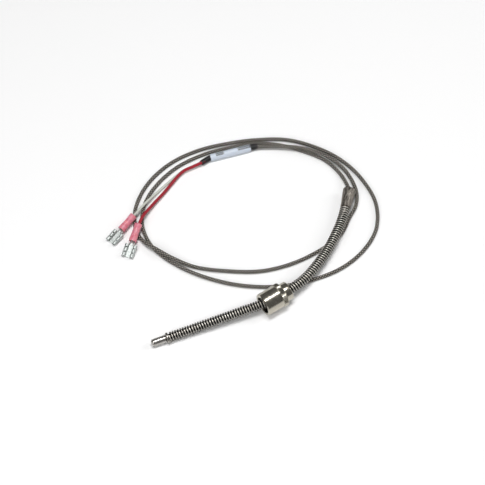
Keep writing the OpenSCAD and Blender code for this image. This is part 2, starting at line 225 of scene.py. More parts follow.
CABLE_D = 2.4
CABLE_ROUTE = [
    (74.6, 16.3, 4.95), (78, 19.5, 4.7), (80.5, 22.5, 4.2), (82.8, 29, 2.4), (84, 37, 1.3),
    (83, 47, 1.25), (79.5, 56, 1.25), (73, 66, 1.25), (64, 77, 1.25), (51.7, 87, 1.25),
    (38, 92.6, 1.25), (20, 98.2, 1.25), (0, 99.8, 1.25), (-18, 96, 1.25), (-32, 88.6, 1.25),
    (-41.5, 77.5, 1.25), (-45.5, 65, 1.25), (-44.8, 52, 1.25), (-39, 36.5, 1.25),
    (-30, 21.5, 1.25), (-16, 5.5, 1.25), (2, -8, 1.25), (22, -16.5, 1.25), (43, -20.5, 1.25),
    (62.5, -18, 1.25), (79, -9.5, 1.25), (90, 6, 1.25), (93.2, 25, 1.25), (91.2, 43, 1.25),
    (84, 60, 1.25), (71.5, 76.5, 1.25), (55, 88, 1.25), (36, 97, 1.25), (16.5, 103.2, 1.25),
    (-4, 104.5, 1.25), (-23.5, 99.5, 1.25), (-39, 89, 1.25), (-47.5, 75.5, 1.25),
    (-48.4, 64.5, 2.2), (-45.3, 54.5, 4), (-39.8, 43.5, 2.9), (-31.5, 31.5, 1.3),
    (-18.5, 19.5, 1.25), (0, 6.5, 1.25), (20, -0.5, 1.25), (41, -2.5, 1.25), (57.5, -0.5, 1.25),
    (69.5, 6.5, 1.25), (78.7, 12, 1.25), (84.8, 20, 1.25), (87.8, 31, 1.25),
    (87.4, 41.5, 2.2), (83.2, 52, 3.9), (76, 63, 3.9), (67, 71.8, 3.5), (57.5, 79, 2.7),
    (48.5, 84.55, 2.45),
]
cable_sides = 32
cable_line = smooth_line(CABLE_ROUTE, 0.3)
cable_mesh = tube_mesh("braided_cable", cable_line, CABLE_D / 2, cable_sides)
# The braid is drawn coarser than such a braid normally is, so that its strands show.
weave(cable_mesh, cable_line, cable_sides, pick=1.9, ends=4, depth=0.16)
grey_braid = woven_yarn("varnished_glass_braid", "#060505", "#35312d", "#bdb6aa", 0.02)
cable = new_piece("cable_jacket", cable_mesh, grey_braid, sharp=80)
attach(cable, "probe")
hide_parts("braided_cable")


# ---------------------------------------------------------------- leads
# One solid-coloured woven glass sleeve over each conductor: crimson for the first and off-white for
# the second, which is thinner and comes out from under the red one.
def lead(name, route, diameter, pick, material):
    """A woven sleeve along a route, in place of the lead's own node."""
    sides = 20
    line = smooth_line(route, pick / 4)
    mesh = tube_mesh(name, line, diameter / 2, sides)
    weave(mesh, line, sides, pick, ends=6, depth=0.05)
    piece = new_piece(name + "_sleeving", mesh, material, sharp=80)
    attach(piece, "probe")
    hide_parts(name)
    return piece, line


RED_D = 2
RED_ROUTE = [
    (16, 92.6, 3.1), (8, 93.6, 2.75), (2, 94.3, 2.7), (-4, 93.2, 2.6), (-10, 91, 2.3),
    (-18, 87.9, 2.2), (-26, 85, 2.8), (-34, 81.8, 3.9), (-40, 78.8, 5.2), (-48.5, 72.6, 5.3),
]
WHITE_D = 1.6
WHITE_ROUTE = [
    (16, 93.6, 1.5), (8, 94.8, 0.85), (2, 95.6, 0.85), (-5, 94.6, 0.85), (-12, 93.2, 0.85),
    (-20, 91.2, 1.3), (-28, 88.6, 2.9), (-34, 86.6, 3.9), (-39.5, 84.4, 4.6), (-48, 81.4, 4.6),
]
red_yarn = woven_yarn("crimson_glass_sleeving", "#780618", "#b00c28", "#c81535", 0.02)
white_yarn = woven_yarn("natural_glass_sleeving", "#b9bdb2", "#d6d9cf", "#eceee6", 0.05)
red_lead, red_line = lead("red_lead", RED_ROUTE, RED_D, 1.3, red_yarn)
white_lead, white_line = lead("white_lead", WHITE_ROUTE, WHITE_D, 1.1, white_yarn)


# ---------------------------------------------------------------- armour spring
# One long close-wound spring of polished carbon-steel wire, pushed over the sheath and the cable.
# It is drawn in two lengths that meet inside the nut, because the front one shortens as the tip
# is pressed back.
WIRE_D = 0.76
COIL_R = 2.87
PITCH = 1.65
MOUTH = Vector((-13.5, -17.5, 7.6))
SPLIT_X = 15.8
FRONT_ROLL = -15
FRONT_PATH = [(6.3, 0), (10, -14.4), (72, 0)]
REAR_ROLL = -4.5
REAR_PATH = [(6, 0), (15.7, 18), (54.5, 25), (30, 0)]
COLLAR_S = 78.3
COLLAR_LEN = 1.6
FERRULE_S = 76.2
WIRE_GAP = 0.05


def walk(path, s):
    """Place and heading at distance s along a list of (length, turn), in the path's own plane."""
    x = y = heading = 0.0
    for i, (span, turn) in enumerate(path):
        run = s if i == len(path) - 1 else min(s, span)
        bend = radians(turn) * run / span
        if turn:
            bend_r = span / radians(turn)
            x += bend_r * (sin(heading + bend) - sin(heading))
            y -= bend_r * (cos(heading + bend) - cos(heading))
            heading += bend
        else:
            x += run * cos(heading)
            y += run * sin(heading)
        s -= run
        if s <= 0:
            break
    return x, y, heading


def branch(roll, half_turn=0):
    """From a branch's own plane to the probe's frame."""
    return (Matrix.Translation(MOUTH + Vector((SPLIT_X, 0, 0)))
            @ Matrix.Rotation(radians(roll), 4, "X") @ Matrix.Rotation(half_turn, 4, "Z"))


def station(path, s, plane):
    """A place on a branch with its +Z pointing on along it, as a matrix."""
    x, y, heading = walk(path, s)
    return (plane @ Matrix.Translation((x, y, 0)) @ Matrix.Rotation(heading, 4, "Z")
            @ Matrix.Rotation(pi / 2, 4, "Y"))


def coil_line(path, plane, until):
    """The centre of the wire, wound around a branch from its start, and the axis it winds around."""
    steps_per_turn = 20
    line = []
    axis = []
    for i in range(round(until / PITCH * steps_per_turn) + 1):
        s = PITCH * i / steps_per_turn
        x, y, heading = walk(path, s)
        turn = 2 * pi * i / steps_per_turn
        out = Vector((-sin(heading), cos(heading), 0)) * cos(turn) + Vector((0, 0, 1)) * sin(turn)
        line.append(plane @ (Vector((x, y, 0)) + COIL_R * out))
        axis.append(plane @ Vector((x, y, 0)))
    return line, axis


def spring_wire():
    """Spring steel with a painted highlight on the crest of every turn and painted shade at its sides.
    """
    material, tree, shader = new_material("polished_spring_steel", "#a5a19a", 0.2, 1.0)
    place = in_mm(tree)
    crest = add(tree, "Attribute", {"attribute_name": "crest"}).outputs["Fac"]
    # The crests carry a painted highlight in the rubbed colours, mottled by the noise, and the sides of
    # the turns a near-black painted shade.
    film = add(tree, "TexNoise", {"Scale": 0.35, "Detail": 4}, {"Vector": place})
    rubbed = colour_steps(tree, film.outputs["Fac"], [(0.35, "#cdc8be"), (0.65, "#f2eee6")])
    crest_highlight_mask = add(tree, "MapRange", {"From Min": 0.55, "From Max": 0.95}, {"Value": crest})
    mix = add(tree, "Mix", {"data_type": "RGBA", 6: linear("#0b0a09")},
              {0: crest_highlight_mask.outputs[0], 7: rubbed.outputs["Color"]})
    tree.links.new(mix.outputs[2], shader.inputs["Base Color"])
    marks = add(tree, "TexNoise", {"Scale": 6, "Detail": 5}, {"Vector": place})
    gloss = add(tree, "MapRange", {"To Min": 0.3, "To Max": 0.5}, {"Value": marks.outputs["Fac"]})
    tree.links.new(gloss.outputs[0], shader.inputs["Roughness"])
    return material


FRONT_PLANE = branch(FRONT_ROLL, pi)
REAR_PLANE = branch(REAR_ROLL)
spring_steel = spring_wire()


def coil(name, path, plane, until):
    """One length of wire. The attribute crest is 1 on the outside of a turn and -1 on its inside."""
    line, axis = coil_line(path, plane, until)
    sides = 12
    mesh = tube_mesh(name, line, WIRE_D / 2, sides)
    crest = mesh.attributes.new("crest", "FLOAT", "POINT")
    for i, vertex in enumerate(mesh.vertices):
        centre = axis[min(i // sides, len(axis) - 1)]
        crest.data[i].value = ((vertex.co / MM - centre).length - COIL_R) / (WIRE_D / 2)
    piece = new_piece(name + "_wire", mesh, spring_steel, sharp=80)
    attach(piece, "probe")
    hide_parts(name)
    return piece


front_wire = coil("front_coil", FRONT_PATH, FRONT_PLANE, COLLAR_S - COLLAR_LEN - WIRE_D / 2 - WIRE_GAP)
coil("rear_coil", REAR_PATH, REAR_PLANE, FERRULE_S - WIRE_D / 2)


def press(piece, moving):
    """Gives a piece its own mesh; the piece reaches from a fixed place to one that the tip's travel
    moves. The argument moving is not used.
    """
    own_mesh(piece)


press(front_wire, station(FRONT_PATH, COLLAR_S - COLLAR_LEN, FRONT_PLANE).translation)


# ---------------------------------------------------------------- liners inside the spring
# A woven glass sleeve fills the spring. Its near-black colour is painted shade, and it shows as the
# black gaps between the turns.
LINER_D = 4.2
LINER_STEP = 0.8
FRONT_LINER_LEN = 56.2
REAR_LINER_LEN = 71.1


def cloudy(name, dark, light, roughness, metallic=0.0, grain=2.0):
    """A plain finish with soft patches of a darker shade and a fine grain."""
    material, tree, shader = new_material(name, light, roughness, metallic)
    clouds = add(tree, "TexNoise", {"Scale": grain, "Detail": 5}, {"Vector": in_mm(tree)})
    tint = colour_steps(tree, clouds.outputs["Fac"], [(0.3, dark), (0.7, light)])
    tree.links.new(tint.outputs["Color"], shader.inputs["Base Color"])
    bump = add(tree, "Bump", {"Strength": 0.2, "Distance": 0.0001}, {"Height": clouds.outputs["Fac"]})
    tree.links.new(bump.outputs[0], shader.inputs["Normal"])
    return material


def liner(name, path, plane, until):
    """One length of woven sleeve along a branch of the spring, from its start."""
    count = round(until / LINER_STEP)
    line = [station(path, until * i / count, plane).translation for i in range(count + 1)]
    mesh = tube_mesh(name, line, LINER_D / 2, 24)
    piece = new_piece(name + "_sleeving", mesh, shade_black_glass, sharp=80)
    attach(piece, "probe")
    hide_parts(name)
    return piece


# Near-black: painted shade inside the spring.
shade_black_glass = cloudy("shade_black_glass_sleeving", "#0b0a0a", "#1c1b1a", 0.8, grain=3)
front_liner = liner("front_liner", FRONT_PATH, FRONT_PLANE, FRONT_LINER_LEN)
liner("rear_liner", REAR_PATH, REAR_PLANE, REAR_LINER_LEN)
press(front_liner, station(FRONT_PATH, FRONT_LINER_LEN, FRONT_PLANE).translation)


# ---------------------------------------------------------------- sheath and stop collar
# The sheath is a drawn stainless tube whose end is spun shut and polished. A turned ring is crimped
# on it, and the spring pushes against that ring. The small step just in front of the ring is the CAD
# model's, where it is a guess.
SHEATH_D = 4.76
SHEATH_WALL = 0.5
SHEATH_BARE = 9.5
SHEATH_HIDDEN = 22
TIP_ROUND = 1.5
SWAGE_DEPTH = 0.2
SWAGE_AHEAD = 0.5
BORE_CONE = 0.6
COLLAR_D = 6.6
COLLAR_CHAMFER = (0.35, 0.4)
NEAR = 0.01
TURNED_STEPS = 96


def corners_of(bm, angle):
    """Edges where the faces meet at more than the angle."""
    return [e for e in bm.edges
            if len(e.link_faces) == 2 and e.calc_face_angle(0) > radians(angle)]


def turned(profile, round_off=0.0, closed=True, steps=TURNED_STEPS):
    """A lathe-turned mesh about Z from a profile of (radius, height)."""
    bm = bmesh.new()
    verts = [bm.verts.new((r, 0, z)) for r, z in profile]
    for a, b in zip(verts, verts[1:] + verts[:1] if closed else verts[1:]):
        bm.edges.new((a, b))
    bmesh.ops.spin(bm, geom=bm.verts[:] + bm.edges[:], cent=(0, 0, 0), axis=(0, 0, 1),
                   angle=2 * pi, steps=steps, use_merge=True)
    bmesh.ops.remove_doubles(bm, verts=bm.verts[:], dist=0.0005)
    bmesh.ops.recalc_face_normals(bm, faces=bm.faces[:])
    if round_off:
        bmesh.ops.bevel(bm, geom=corners_of(bm, 30), offset=round_off, segments=2, profile=0.5,
                        affect="EDGES", material=-1)
    return bm


def placed(bm, name, place, material, body, node, sharp=35):
    """Moves a finished bmesh to its place, makes it a piece and ties it to its body and node."""
    bmesh.ops.transform(bm, matrix=Matrix.Scale(MM, 4) @ place, verts=bm.verts[:])
    mesh = bpy.data.meshes.new(name)
    bm.to_mesh(mesh)
    bm.free()
    piece = new_piece(name, mesh, material, sharp)
    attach(piece, body)
    if node:
        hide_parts(node)
    return piece


def drawn_steel(name, dark, light, rough_low, rough_high, along=(1, 1, 0.12)):
    """Bare stainless with fine scratches along it, with a dark painted shade where the attribute says
    so.
    """
    material, tree, shader = new_material(name, light, rough_low, 1.0)
    stretched = add(tree, "Mapping", {"Scale": along}, {"Vector": in_mm(tree)}).outputs[0]
    scratches = add(tree, "TexNoise", {"Scale": 5, "Detail": 6, "Roughness": 0.65},
                    {"Vector": stretched})
    tint = colour_steps(tree, scratches.outputs["Fac"], [(0.3, dark), (0.7, light)])
    under_spring_shade = add(tree, "Attribute", {"attribute_name": "under_spring_shade"}).outputs["Fac"]
    # The dark colour mixed in here is painted shade.
    mix = add(tree, "Mix", {"data_type": "RGBA", 7: linear("#2e2b28")},
              {0: under_spring_shade, 6: tint.outputs["Color"]})
    tree.links.new(mix.outputs[2], shader.inputs["Base Color"])
    gloss = add(tree, "MapRange", {"To Min": rough_low, "To Max": rough_high},
                {"Value": scratches.outputs["Fac"]})
    tree.links.new(gloss.outputs[0], shader.inputs["Roughness"])
    bump = add(tree, "Bump", {"Strength": 0.15, "Distance": 0.00005},
               {"Height": scratches.outputs["Fac"]})
    tree.links.new(bump.outputs[0], shader.inputs["Normal"])
    return material


sheath_place = station(FRONT_PATH, COLLAR_S + SHEATH_BARE, FRONT_PLANE) @ Matrix.Rotation(pi, 4, "X")
sheath_r = SHEATH_D / 2
sheath_bore = sheath_r - SHEATH_WALL
sheath_end = SHEATH_BARE + SHEATH_HIDDEN
tip_arc = [(sheath_r - TIP_ROUND + TIP_ROUND * sin(a), TIP_ROUND - TIP_ROUND * cos(a))
           for a in [radians(15 * i) for i in range(7)]]
swaged_r = sheath_r - SWAGE_DEPTH
swaged_from = SHEATH_BARE - SWAGE_AHEAD
sheath_profile = ([(0, 0)] + tip_arc + [(sheath_r, swaged_from), (swaged_r, swaged_from),
                  (swaged_r, sheath_end), (sheath_bore, sheath_end),
                  (sheath_bore, 2 * SHEATH_WALL + BORE_CONE),
                  (sheath_bore - BORE_CONE, 2 * SHEATH_WALL),
                  (0, 2 * SHEATH_WALL)])
stainless = drawn_steel("drawn_stainless", "#8f8c88", "#d2cfca", 0.2, 0.4)
sheath_bm = turned(sheath_profile, closed=False)
# The length of sheath under the spring gets the painted shade of the spring around it.
under_spring_shade = sheath_bm.verts.layers.float.new("under_spring_shade")
for vert in sheath_bm.verts:
    radius = hypot(vert.co.x, vert.co.y)
    vert[under_spring_shade] = vert.co.z > swaged_from - NEAR and radius < swaged_r + NEAR
placed(sheath_bm, "sheath", sheath_place, stainless, "tip", "sheath_tube")

# Each conductor is fast in the cement with the tip, and its free length behind the cement takes up
# the tip's travel in front of the inner cable.
CONDUCTOR_R = 0.25
CONDUCTOR_SIDE = 0.75
BEAD_AT = 2.4
CEMENT_END = 17.4
FREE_LEN = 7
for side, name, dark, light in ((-1, "iron", "#5f6165", "#85878b"),
                                (1, "constantan", "#93784f", "#b79a6c")):
    drawn_wire = cloudy("drawn_" + name, dark, light, 0.4, 1.0)
    fast, free_end, start = [sheath_place @ Vector((side * CONDUCTOR_SIDE, 0, z))
                             for z in (CEMENT_END, CEMENT_END + FREE_LEN, BEAD_AT)]
    held_mesh = tube_mesh(name, [start, fast], CONDUCTOR_R, 12)
    held = new_piece(name + "_wire", held_mesh, drawn_wire, 60)
    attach(held, "tip")
    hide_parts(name + "_conductor")
    free_line = [fast.lerp(free_end, i / 6) for i in range(7)]
    free_mesh = tube_mesh(name + "_slack", free_line, CONDUCTOR_R, 12)
    free = new_piece(name + "_slack", free_mesh, drawn_wire, 60)
    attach(free, "probe")
    press(free, fast)

collar_profile = [(swaged_r, 0), (COLLAR_D / 2 - COLLAR_CHAMFER[0], 0),
                  (COLLAR_D / 2, COLLAR_CHAMFER[1]), (COLLAR_D / 2, COLLAR_LEN), (swaged_r, COLLAR_LEN)]
turned_stainless = drawn_steel("turned_stainless", "#7c7973", "#b8b4ad", 0.25, 0.4, along=(1, 1, 3))
collar_place = sheath_place @ Matrix.Translation((0, 0, SHEATH_BARE))
placed(turned(collar_profile, 0.1), "collar", collar_place, turned_stainless, "tip",
       "stop_collar")


# ---------------------------------------------------------------- bayonet cap and nut
# Turned brass, tumbled and nickel plated to a warm satin. The cap turns on the nut's neck and is
# held by the nut's flange. The cutter of its J-slot comes out inside out, so the slot is marked on
# the cap but not opened; the CAD model has it open.
SKIRT_D = 14.8
MOUTH_D = 11.3
SKIRT_LEN = 11.4
BAND_D = 15.2
BAND_LEN = 2.9
NUT_D = 11.9
NUT_LEN = 4.5
RUNNING = 0.05
NECK_R = 4.7
CAP_WALL_X = SKIRT_LEN + 0.4
KNURLS = 60
SLOT_W = 2.6
SLOT_DEPTH = 6.5
SLOT_SWEEP = 50
CAP_CHAMFER = 0.4
BAND_CHAMFER = 0.15
GROOVE_LEN = 0.35
GROOVE_DEPTH = 0.2
KNURL_DEPTH = 0.18
NUT_BORE_R = 3.3
NUT_MOUTH_R = 3.7
NUT_INSIDE_R = 3.95
NUT_CHAMFER = 0.5
FLANGE_LEN = 1.4
END_PLAY = 0.1
SHOULDER = (0.6, 0.4)


def nickel_plate():
    """Satin nickel over turned brass: a warm grey with fine turning rings and soft rubbed patches."""
    material, tree, shader = new_material("satin_nickel_plate", "#bdb8ab", 0.2, 1.0)
    place = in_mm(tree)
    # Turning marks are closer together than they are drawn here, at 0.25 mm, so that they show.
    rings = add(tree, "TexWave", {"bands_direction": "X", "Scale": 1.3, "Distortion": 1.2,
                "Detail": 3}, {"Vector": place})
    patches = add(tree, "TexNoise", {"Scale": 0.25, "Detail": 6}, {"Vector": place})
    both = add(tree, "Math", {"operation": "MULTIPLY_ADD", 1: 0.25}, {0: rings.outputs["Fac"],
               2: patches.outputs["Fac"]})
    tint = colour_steps(tree, both.outputs[0], [(0.3, "#aaa598"), (0.9, "#c6c1b4")])
    tree.links.new(tint.outputs["Color"], shader.inputs["Base Color"])
    gloss = add(tree, "MapRange", {"From Min": 0.3, "From Max": 0.9, "To Min": 0.16, "To Max": 0.26},
                {"Value": both.outputs[0]})
    tree.links.new(gloss.outputs[0], shader.inputs["Roughness"])
    bump = add(tree, "Bump", {"Strength": 0.1, "Distance": 0.00004}, {"Height": rings.outputs["Fac"]})
    tree.links.new(bump.outputs[0], shader.inputs["Normal"])
    return material


def cut_with(piece, cutter_bm, place):
    """Cuts a closed shape out of a finished piece."""
    bmesh.ops.transform(cutter_bm, matrix=Matrix.Scale(MM, 4) @ place, verts=cutter_bm.verts[:])
    cutter_mesh = bpy.data.meshes.new("cutter")
    cutter_bm.to_mesh(cutter_mesh)
    cutter_bm.free()
    cutter = bpy.data.objects.new("cutter", cutter_mesh)
    bpy.context.scene.collection.objects.link(cutter)
    cut = piece.modifiers.new("cut", "BOOLEAN")
    cut.object = cutter
    cut.solver = "EXACT"
    bpy.context.view_layer.update()
    mesh = bpy.data.meshes.new_from_object(piece.evaluated_get(bpy.context.evaluated_depsgraph_get()))
    piece.modifiers.clear()
    piece.data = mesh
    mesh.set_sharp_from_angle(angle=radians(35))
    bpy.data.objects.remove(cutter)
    bpy.data.meshes.remove(cutter_mesh)


def slot_shape():
    """The J: a way in from the rim, then a turn to the side, with round ends."""
    bm = bmesh.new()
    reach = SKIRT_D / 2 + 1
    half = SLOT_W / 2
    turn_at = SLOT_DEPTH - half
    outline = [(0, -1), (SLOT_W, -1), (SLOT_W, SLOT_DEPTH - SLOT_W)]
    arm = radians(SLOT_SWEEP) * SKIRT_D / 2
    outline += [(half + arm, SLOT_DEPTH - SLOT_W)]
    outline += [(half + arm + half * sin(radians(a)), turn_at - half * cos(radians(a)))
                for a in range(20, 180, 20)]
    outline += [(half + arm, SLOT_DEPTH), (half, SLOT_DEPTH)]
    outline += [(half - half * sin(radians(a)), turn_at + half * cos(radians(a)))
                for a in range(20, 100, 20)]
    face = bm.faces.new([bm.verts.new((x - half, 0, z)) for x, z in outline])
    bmesh.ops.triangulate(bm, faces=[face])
    bmesh.ops.subdivide_edges(bm, edges=bm.edges[:], cuts=3, use_grid_fill=True)
    grown = bmesh.ops.extrude_face_region(bm, geom=bm.faces[:])
    outer = [v for v in grown["geom"] if isinstance(v, bmesh.types.BMVert)]
    for vert in bm.verts:
        depth = reach if vert in set(outer) else NECK_R
        turn = vert.co.x / (SKIRT_D / 2)
        vert.co = (depth * cos(turn), depth * sin(turn), vert.co.z)
    bmesh.ops.recalc_face_normals(bm, faces=bm.faces[:])
    return bm


nickel = nickel_plate()
cap_place = Matrix.Translation(MOUTH) @ Matrix.Rotation(pi / 2, 4, "Y")
skirt_r = SKIRT_D / 2
band_r = BAND_D / 2
band_end = SKIRT_LEN + BAND_LEN
cap_profile = [
    (MOUTH_D / 2, 0), (skirt_r - CAP_CHAMFER, 0), (skirt_r, CAP_CHAMFER),
    (skirt_r, SKIRT_LEN - GROOVE_LEN), (skirt_r - GROOVE_DEPTH, SKIRT_LEN - GROOVE_LEN),
    (skirt_r - GROOVE_DEPTH, SKIRT_LEN),
    (band_r - BAND_CHAMFER, SKIRT_LEN), (band_r, SKIRT_LEN + BAND_CHAMFER),
    (band_r, band_end - BAND_CHAMFER), (band_r - BAND_CHAMFER, band_end),
    (NECK_R + RUNNING, band_end), (NECK_R + RUNNING, CAP_WALL_X), (MOUTH_D / 2, CAP_WALL_X),
]
knurl_steps = KNURLS * 4
cap_bm = turned(cap_profile, steps=knurl_steps)
for vert in cap_bm.verts:
    radius = hypot(vert.co.x, vert.co.y)
    if radius > band_r - 0.2 and vert.co.z > SKIRT_LEN - NEAR:
        step = round(atan2(vert.co.y, vert.co.x) / (2 * pi) * knurl_steps) % 4
        sunk = [0, KNURL_DEPTH / 2, KNURL_DEPTH, KNURL_DEPTH / 2][step]
        vert.co.x *= 1 - sunk / radius
        vert.co.y *= 1 - sunk / radius
cap = placed(cap_bm, "cap", cap_place, nickel, "cap", "bayonet_cap", sharp=25)
cut_with(cap, slot_shape(), cap_place)

body_at = band_end + END_PLAY
shoulder_end = body_at + SHOULDER[1]
flange_at = CAP_WALL_X - END_PLAY - FLANGE_LEN
flange_r = MOUTH_D / 2 - 0.25
nut_end = shoulder_end + NUT_LEN
nut_profile = [
    (NUT_INSIDE_R, flange_at), (flange_r, flange_at), (flange_r, flange_at + FLANGE_LEN),
    (NECK_R, flange_at + FLANGE_LEN), (NECK_R, body_at), (NECK_R + SHOULDER[0], body_at),
    (NECK_R + SHOULDER[0], shoulder_end), (NUT_D / 2 - 0.25, shoulder_end), (NUT_D / 2, body_at + 0.65),
    (NUT_D / 2, nut_end - NUT_CHAMFER), (NUT_D / 2 - NUT_CHAMFER, nut_end), (NUT_MOUTH_R, nut_end),
    (NUT_BORE_R, nut_end - 0.4), (NUT_BORE_R, body_at), (NUT_INSIDE_R, body_at),
]
placed(turned(nut_profile, 0.06), "nut", cap_place, nickel, "nut", "spring_nut")


# ---------------------------------------------------------------- rear ferrule
# A tinned steel ferrule, drawn to a gentle trumpet, pressed into the spring's rear end. Its outside
# keeps slanting marks from the crimping rolls.
FERRULE_LEN = 13.7
FERRULE_R = 3.15
FERRULE_MOUTH_R = 4.2
FERRULE_LIP = 0.5
NECK_LEN = 5


def rolled_tin():
    """Tinned steel with slanting roll marks and grey rubbed patches."""
    material, tree, shader = new_material("rolled_tinned_steel", "#85817a", 0.35, 0.9)
    lay = add(tree, "UVMap", {"uv_map": "Lay"}).outputs[0]
    slanted = add(tree, "Mapping", {"Rotation": (0, 0, -0.5), "Scale": (1.6, 0.2, 1)}, {"Vector": lay})
    streaks = add(tree, "TexNoise", {"Scale": 1, "Detail": 4, "Distortion": 0.4},
                  {"Vector": slanted.outputs[0]})
    patches = add(tree, "TexNoise", {"Scale": 1.5, "Detail": 5}, {"Vector": in_mm(tree)})
    both = add(tree, "Math", {"operation": "MULTIPLY_ADD", 1: 0.6}, {0: patches.outputs["Fac"],
               2: streaks.outputs["Fac"]})
    tint = colour_steps(tree, both.outputs[0], [(0.55, "#4a4641"), (0.8, "#7c766f"), (1.0, "#bdb6ac")])
    tree.links.new(tint.outputs["Color"], shader.inputs["Base Color"])
    gloss = add(tree, "MapRange", {"To Min": 0.28, "To Max": 0.5}, {"Value": both.outputs[0]})
    tree.links.new(gloss.outputs[0], shader.inputs["Roughness"])
    bump = add(tree, "Bump", {"Strength": 0.3, "Distance": 0.0001}, {"Height": streaks.outputs["Fac"]})
    tree.links.new(bump.outputs[0], shader.inputs["Normal"])
    return material


ferrule_place = station(REAR_PATH, FERRULE_S, REAR_PLANE)
neck_r = COIL_R - WIRE_D / 2 - 0.1
ferrule_profile = [
    (neck_r, -NECK_LEN), (neck_r, 0), (FERRULE_R, 0), (FERRULE_R + 0.1, 1), (FERRULE_R + 0.25, 4),
    (FERRULE_R + 0.5, 7), (FERRULE_R + 0.82, 10.5), (FERRULE_MOUTH_R, FERRULE_LEN - 0.4),
    (FERRULE_MOUTH_R - 0.08, FERRULE_LEN - 0.1), (FERRULE_MOUTH_R - 0.25, FERRULE_LEN),
    (FERRULE_MOUTH_R - FERRULE_LIP, FERRULE_LEN - 0.1), (FERRULE_R - FERRULE_LIP, 2),
    (CABLE_D / 2, 2), (CABLE_D / 2, -NECK_LEN),
]
ferrule_bm = turned(ferrule_profile)
ferrule_lay = ferrule_bm.loops.layers.uv.new("Lay")
for face in ferrule_bm.faces:
    turns = [atan2(loop.vert.co.y, loop.vert.co.x) for loop in face.loops]
    wraps = max(turns) - min(turns) > pi
    for loop, turn in zip(face.loops, turns):
        turn += 2 * pi if wraps and turn < 0 else 0
        loop[ferrule_lay].uv = (turn * FERRULE_R, loop.vert.co.z)
placed(ferrule_bm, "ferrule", ferrule_place, rolled_tin(), "probe", "rear_ferrule")


# ---------------------------------------------------------------- shrink sleeve and printed band
# Black polyolefin tube shrunk over the splices, and a clear film over a white printed band around
# the middle of it. The band carries rows of plain dashes.
SLEEVE_AT = Vector((51.2, 83.7, 2.45))
SLEEVE_HEADING = radians(162.8)
SLEEVE_BEND = radians(19)
SLEEVE_LEN = 32.5
SLEEVE_TAIL = 6.3
SLEEVE_R = 1.9
TAIL_R = 1.8
SLEEVE_DRAWN_IN = 0.16
TAIL_DRAWN_IN = 0.03
DRAWN_IN_LEN = 1.2
LABEL_FROM = 4.8
LABEL_LEN = 27
LABEL_D = 4.8
LABEL_RINGS = 30
PRINT_NEAR = (5.6, 4.7)
PRINT_FAR = (22.4, 2.6)
PRINT_HALF_W = 1.3


def ahead(heading, distance):
    """A step over the surface in the direction of a heading."""
    return Vector((cos(heading), sin(heading), 0)) * distance


def lay_on(mesh, line, radius, sides):
    """A UV map that follows a swept tube, in millimetres: u around from its top, v along."""
    along = distances(line)
    around = 2 * pi * radius / sides
    top = max(range(sides), key=lambda k: mesh.vertices[k].co.z)
    layer = mesh.uv_layers.new(name="Lay")
    mesh.uv_layers.active = layer
    for face in mesh.polygons:
        columns = [(mesh.loops[k].vertex_index - top + sides // 2) % sides for k in face.loop_indices]
        wraps = max(columns) - min(columns) > sides / 2
        for k, column in zip(face.loop_indices, columns):
            ring = min(mesh.loops[k].vertex_index // sides, len(line) - 1)
            column += sides if wraps and column < sides / 2 else 0
            layer.data[k].uv = ((column - sides // 2) * around, along[ring])


def shrink_tube():
    """Shrunk polyolefin: near black, satin, with soft ripples around the tube."""
    material, tree, shader = new_material("black_shrink_polyolefin", "#0a0a0b", 0.5)
    ripples = add(tree, "TexNoise", {"Scale": 0.7, "Detail": 3}, {"Vector": in_mm(tree)})
    tint = colour_steps(tree, ripples.outputs["Fac"], [(0.3, "#050506"), (0.7, "#131315")])
    tree.links.new(tint.outputs["Color"], shader.inputs["Base Color"])
    bump = add(tree, "Bump", {"Strength": 0.35, "Distance": 0.0003}, {"Height": ripples.outputs["Fac"]})
    tree.links.new(bump.outputs[0], shader.inputs["Normal"])
    return material


def printed_film():
    """White vinyl under a clear film, with two groups of dark dashes along its top. A group's place
    along the band is its middle and half its length."""
    white = "#cdd6e2"
    material, tree, shader = new_material("printed_vinyl_film", white, 0.35, Coat_Weight=0.1,
                                          Coat_Roughness=0.1)
    lay = add(tree, "SeparateXYZ", links={0: add(tree, "UVMap", {"uv_map": "Lay"}).outputs[0]})
    around, along = lay.outputs[0], lay.outputs[1]
    turned_lay = add(tree, "CombineXYZ", links={0: along, 1: around})
    dashes = add(tree, "TexBrick", {"Scale": 1, "Brick Width": 1.7, "Row Height": 1.3,
                 "Mortar Size": 0.15, "Mortar Smooth": 0.1, "Bias": -0.3,
                 "Color1": linear("#08090b"), "Color2": linear("#30343b"), "Mortar": linear(white)},
                 {"Vector": turned_lay.outputs[0]})
    near_end, far_end = [add(tree, "Math", {"operation": "COMPARE", 1: middle, 2: half}, {0: along})
                         for middle, half in (PRINT_NEAR, PRINT_FAR)]
    rows = add(tree, "Math", {"operation": "COMPARE", 1: 0, 2: PRINT_HALF_W}, {0: around})
    groups = add(tree, "Math", {"operation": "ADD"},
                 {0: near_end.outputs[0], 1: far_end.outputs[0]})
    printed = add(tree, "Math", {"operation": "MULTIPLY"},
                  {0: groups.outputs[0], 1: rows.outputs[0]})
    mix = add(tree, "Mix", {"data_type": "RGBA", 6: linear(white)},
              {0: printed.outputs[0], 7: dashes.outputs["Color"]})
    tree.links.new(mix.outputs[2], shader.inputs["Base Color"])
    return material


